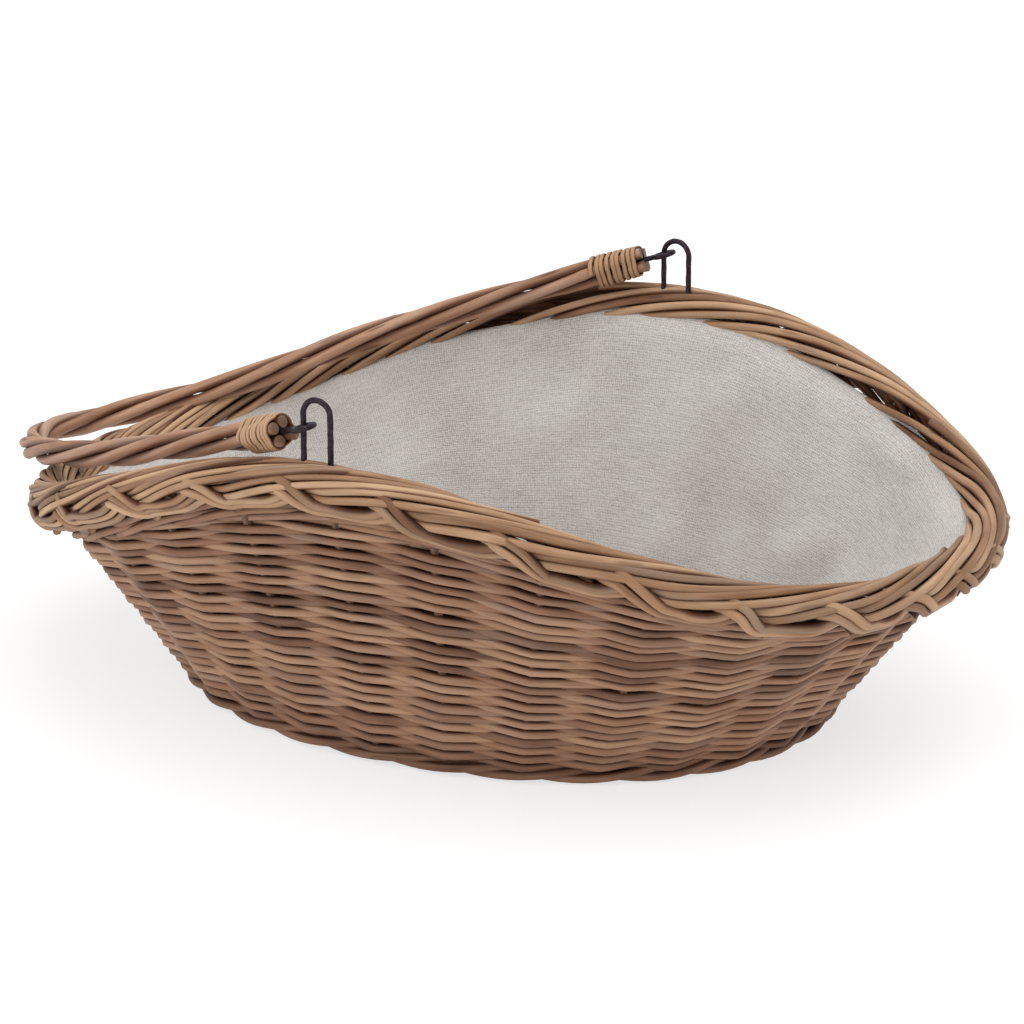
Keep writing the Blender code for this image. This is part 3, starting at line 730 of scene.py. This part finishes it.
def evenly(line, distances):
    """Points of a line at these distances along it."""
    gone = run_along(line)
    return np.stack([np.interp(distances, gone, line[:, i]) for i in range(3)], -1)


def square_to(along):
    """The direction nearest the handle plane's normal that is square to each of these."""
    normal = np.array([-math.sin(REST_DROOP), 0, math.cos(REST_DROOP)])
    return unit(normal - along * (along @ normal)[..., None])


def across_handle(line):
    tangent = unit(np.gradient(line, axis=0))
    square = square_to(tangent)
    return np.cross(tangent, square), square


middle = handle_line()
HANDLE_LENGTH = float(run_along(middle)[-1])
for name, walk in (("eye_near", middle), ("eye_far", middle[::-1])):
    center = walk[0]
    along = unit(evenly(walk, [SHANK_LENGTH])[0] - center)
    side_way = np.cross(square_to(along), along)
    bend = np.linspace(EYE_OPEN, EYE_CLOSED, 40)
    ring = [center + EYE_RADIUS * (along * math.cos(a) + side_way * math.sin(a)) for a in bend]
    shank = [center + along * d for d in np.linspace(SHANK_LENGTH, EYE_RADIUS + 0.0022, 10)]
    eye = Rods()
    eye.add(np.array(shank + ring), EYE_WIRE, 0.5, 12)
    eye.piece(name + "_wire", dark_wire, "handle", "dark_wire", name)

# ---------------------------------------------------------------- twisted handle
# Four thick willow rods twisted into one bail. Their cut ends lie round the eyes'
# shanks, and small knots and bud scars stand along them.
HANDLE_ROD = 0.0033
NEAR_ENDS = (0.0135, 0.0180, 0.0176, 0.0179)
FAR_ENDS = (0.0125, 0.0132, 0.0130, 0.0128)
HANDLE_TURNS, TIP_TURNS, TIP_TURN_SPREAD = 2.8, 0.15, 0.06
BOUND_LENGTH = 0.046
KNOTS = 7
HANDLE_BARK = (0.18, 0.080, 0.038), (0.38, 0.205, 0.120), (0.56, 0.36, 0.25)
handle_willow = willow("handle_willow", HANDLE_BARK, grey=(0.42, 0.30, 0.24), pith=(0.17, 0.10, 0.055),
                       roughness=0.5, speck=0.75, groove_shade=0.8)


def handle_spin(gone):
    """The rods' twist: slow along both arms and a little quicker round the tip."""
    share = gone / HANDLE_LENGTH
    return 2 * math.pi * (HANDLE_TURNS * share + TIP_TURNS * np.tanh((share - 0.5) / TIP_TURN_SPREAD))


def bundle(distance):
    """How far the rods lie from their middle line: further apart where they hold an eye."""
    part = np.clip((distance - BOUND_LENGTH * 0.6) / BOUND_LENGTH, 0, 1)
    tight, loose = HANDLE_ROD * math.sqrt(2) + 0.0003, HANDLE_ROD + EYE_WIRE + 0.0006
    return loose + (tight - loose) * part * part * (3 - 2 * part)


for rod in range(4):
    gone = np.linspace(NEAR_ENDS[rod], HANDLE_LENGTH - FAR_ENDS[rod], 420)
    line = evenly(middle, gone)
    across, square = across_handle(line)
    spin = handle_spin(gone) + math.pi / 2 * rod
    tip = np.exp(-((gone - HANDLE_LENGTH / 2) / 0.03) ** 2)
    far = (bundle(np.minimum(gone, HANDLE_LENGTH - gone)) * (1 - 0.22 * tip))[:, None]
    path = line + (across * np.cos(spin)[:, None] + square * np.sin(spin)[:, None]) * far
    knots = chance.uniform(0.05, HANDLE_LENGTH - 0.05, KNOTS)
    swell = sum(np.exp(-((gone - k) / 0.0030) ** 2) for k in knots)
    radius = HANDLE_ROD * (1 + 0.04 * np.sin(gone * 31 + rod) + 0.07 * swell)
    handle_rod = Rods()
    handle_rod.add(path, radius, chance.uniform(0.2, 0.9), 12, unit(path - line))
    node = f"handle_rod_{rod + 1}"
    handle_rod.piece(node + "_willow", handle_willow, "handle", "handle_willow", node)

# ---------------------------------------------------------------- cane bindings
# Split cane wound eight times round the rod ends and the eye's shank, its turns
# lapped close.
BIND_TURNS, TURN_STEPS = 8.5, 28
NEAR_START, NEAR_LENGTH = 0.0185, 0.026
FAR_START, FAR_LENGTH = 0.0155, 0.030
LAP_SLIP = 0.0004
CANE_WIDTH, CANE_THICKNESS = 0.0030, 0.0016
# The strip's outline, domed outside and flatter inside, and how deep in a groove each corner is, which
# sets the painted shade on its inner side against the rods.
CANE_OUTLINE = np.array([(1, 0), (0.72, 0.75), (0, 1), (-0.72, 0.75),
                         (-1, 0), (-0.8, -0.75), (0, -1), (0.8, -0.75)])
CANE_PAINTED_SHADE = (0.45, 0.25, 0.0, 0.25, 0.45, 1.0, 1.0, 1.0)
CANE_SKIN = (0.22, 0.10, 0.045), (0.41, 0.23, 0.12), (0.60, 0.39, 0.23)
split_cane = willow("split_cane", CANE_SKIN, grey=(0.45, 0.32, 0.20), pith=(0.45, 0.32, 0.18),
                    roughness=0.42, speck=0.3, groove_shade=0.9)
for name, walk, from_near, start, length in (("binding_near", middle, True, NEAR_START, NEAR_LENGTH),
                                             ("binding_far", middle[::-1], False, FAR_START, FAR_LENGTH)):
    wound = np.linspace(0, 1, int(BIND_TURNS * TURN_STEPS))
    spin = 2 * math.pi * BIND_TURNS * wound
    away = start + length * wound + LAP_SLIP * np.sin(spin * 0.37)
    base = evenly(walk, away)
    across, square = across_handle(base)
    radial = across * np.cos(spin)[:, None] + square * np.sin(spin)[:, None]
    rod_spin = handle_spin(away) if from_near else -handle_spin(HANDLE_LENGTH - away)
    angles = np.stack([rod_spin + math.pi / 2 * k for k in range(4)])
    hull = (bundle(away) * np.cos(spin - angles)).max(0) + HANDLE_ROD
    center = base + radial * (hull + CANE_THICKNESS * 0.55)[:, None]
    cane = Rods()
    cane.add(center, 1.0, chance.uniform(0.4, 0.9), len(CANE_OUTLINE))
    piece = cane.piece(name + "_cane", split_cane, "handle", "split_cane", name)
    tangent = unit(np.gradient(base, axis=0))
    wide, thick = (CANE_OUTLINE / 2 * (CANE_WIDTH, CANE_THICKNESS)).T
    rings = center[:, None] + tangent[:, None] * wide[:, None] + radial[:, None] * thick[:, None]
    flat = np.concatenate([rings.reshape(-1, 3), rings[0], rings[-1]])
    piece.data.vertices.foreach_set("co", flat.ravel())
    piece.data.attributes["deep"].data.foreach_set("value", np.tile(CANE_PAINTED_SHADE, len(rings) + 2))
    piece.data.update()
    bpy.ops.object.select_all(action="DESELECT")
    piece.select_set(True)
    bpy.context.view_layer.objects.active = piece
    bpy.ops.object.mode_set(mode="EDIT")
    bpy.ops.mesh.select_all(action="SELECT")
    bpy.ops.mesh.normals_make_consistent(inside=False)
    bpy.ops.object.mode_set(mode="OBJECT")
